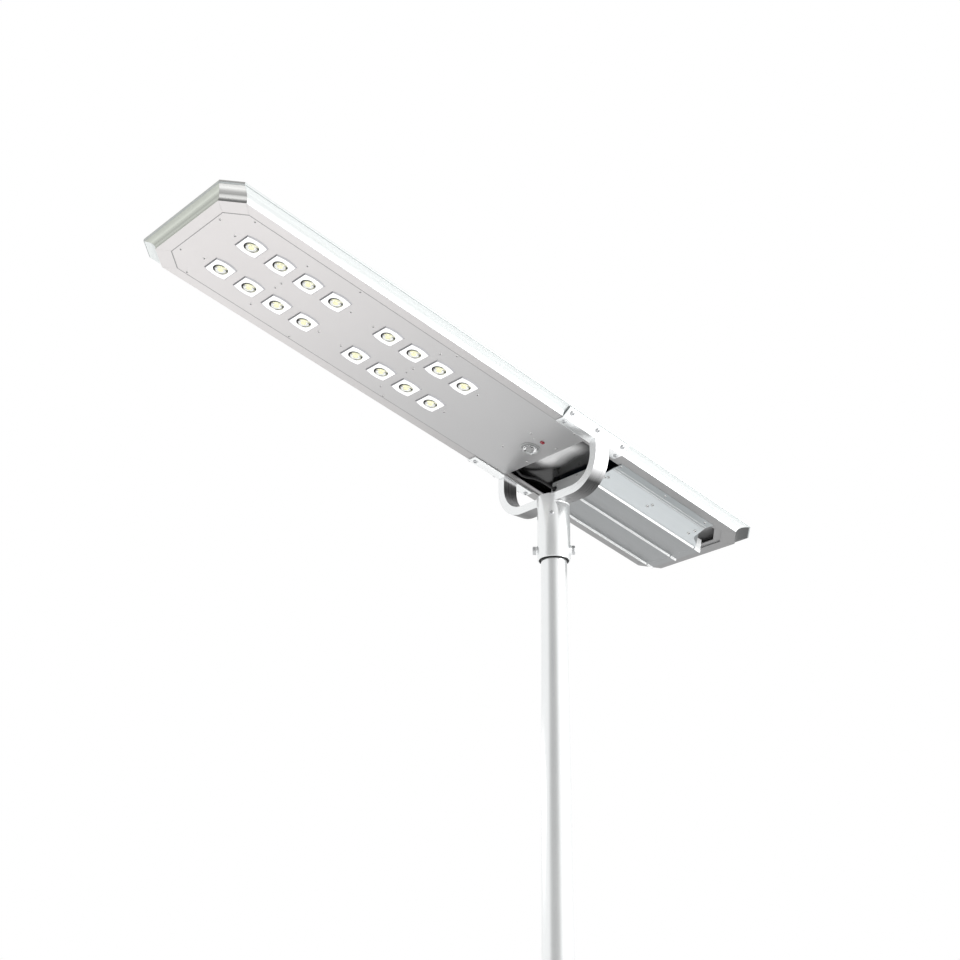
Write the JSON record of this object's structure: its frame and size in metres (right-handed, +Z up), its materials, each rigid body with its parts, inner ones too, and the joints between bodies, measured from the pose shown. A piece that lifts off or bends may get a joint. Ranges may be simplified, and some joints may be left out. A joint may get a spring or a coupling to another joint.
{
  "type": "solar street lamp",
  "caption": "All-in-one solar street lamp: flat LED head with a panel on top and a battery housing, on a U yoke whose sleeve slips over a tapered pole.",
  "frame": {"origin": "on the pole's axis, at the lower end of its modelled section", "axes": "+Z up along the pole, +X from the lamp end of the head towards its battery end, +Y towards the far long side of the head"},
  "size_m": [1.416, 0.3394, 1.7447],
  "materials": {
    "white_paint": "white powder coat, satin",
    "pole_paint": "white powder coat, satin",
    "frame_aluminium": "satin anodised extrusion",
    "lamp_sheet": "fine bead-blasted sheet, clear anodised",
    "housing_aluminium": "satin sheet",
    "bolt_steel": "stainless steel",
    "clear_lens": "clear polycarbonate",
    "board_white": "white solder mask",
    "panel_glass": "tempered solar glass over dark cells",
    "panel_back": "glossy black backsheet",
    "black_plastic": "moulded",
    "grey_plastic": "moulded",
    "pack_wrap": "heat-shrink wrap",
    "lead_sheath": "round two-core sheath",
    "sensor_rim": "satin",
    "button_red": "moulded"
  },
  "bodies": {
    "pole": {"pole": "pole_paint"},
    "head": {"battery_housing": "housing_aluminium", "battery_lead": "lead_sheath", "battery_pack": "pack_wrap", "bracket_far": "white_paint", "bracket_near": "white_paint", "charge_controller": "grey_plastic", "flange_bolt_far_1": "bolt_steel", "flange_bolt_far_2": "bolt_steel", "flange_bolt_near_1": "bolt_steel", "flange_bolt_near_2": "bolt_steel", "frame_corner_far_front": "frame_aluminium", "frame_corner_far_rear": "frame_aluminium", "frame_corner_near_front": "frame_aluminium", "frame_corner_near_rear": "frame_aluminium", "frame_rail_far": "frame_aluminium", "frame_rail_front": "frame_aluminium", "frame_rail_near": "frame_aluminium", "frame_rail_rear": "frame_aluminium", "housing_end_cap": "white_paint", "housing_end_plate": "housing_aluminium", "junction_box": "black_plastic", "lamp_bulkhead": "lamp_sheet", "lamp_plate": "lamp_sheet", "led_board_front_far": "board_white", "led_board_front_near": "board_white", "led_board_rear_far": "board_white", "led_board_rear_near": "board_white", "lens_front_far_1": "clear_lens", "lens_front_far_2": "clear_lens", "lens_front_far_3": "clear_lens", "lens_front_far_4": "clear_lens", "lens_front_near_1": "clear_lens", "lens_front_near_2": "clear_lens", "lens_front_near_3": "clear_lens", "lens_front_near_4": "clear_lens", "lens_rear_far_1": "clear_lens", "lens_rear_far_2": "clear_lens", "lens_rear_far_3": "clear_lens", "lens_rear_far_4": "clear_lens", "lens_rear_near_1": "clear_lens", "lens_rear_near_2": "clear_lens", "lens_rear_near_3": "clear_lens", "lens_rear_near_4": "clear_lens", "pole_sleeve": "white_paint", "sensor_base": "sensor_rim", "sensor_dome": "clear_lens", "side_bolt_far_1": "bolt_steel", "side_bolt_far_2": "bolt_steel", "side_bolt_far_3": "bolt_steel", "side_bolt_near_1": "bolt_steel", "side_bolt_near_2": "bolt_steel", "side_bolt_near_3": "bolt_steel", "solar_glass": "panel_glass", "solar_laminate": "panel_back", "yoke_arm_far": "white_paint", "yoke_arm_near": "white_paint"},
    "set_bolt_1": {"set_bolt_1": "bolt_steel"},
    "set_bolt_2": {"set_bolt_2": "bolt_steel"},
    "push_button": {"push_button": "button_red"}
  },
  "joints": [
    {"name": "head_swivel", "type": "hinge", "parent": "pole", "child": "head", "pos_m": [0, 0, 1.35], "axis": [0, 0, 1], "continuous": true},
    {"name": "set_bolt_1_screw", "type": "slide", "parent": "head", "child": "set_bolt_1", "axis": [0.7071, -0.7071, 0], "range_m": [0, 0.005]},
    {"name": "set_bolt_2_screw", "type": "slide", "parent": "head", "child": "set_bolt_2", "axis": [-0.7071, 0.7071, 0], "range_m": [0, 0.005]},
    {"name": "button_press", "type": "slide", "parent": "head", "child": "push_button", "axis": [0.2284, 0, 0.9736], "range_m": [0, 0.0015], "stiffness_N_per_m": 300, "springref_m": -0.0005}
  ]
}
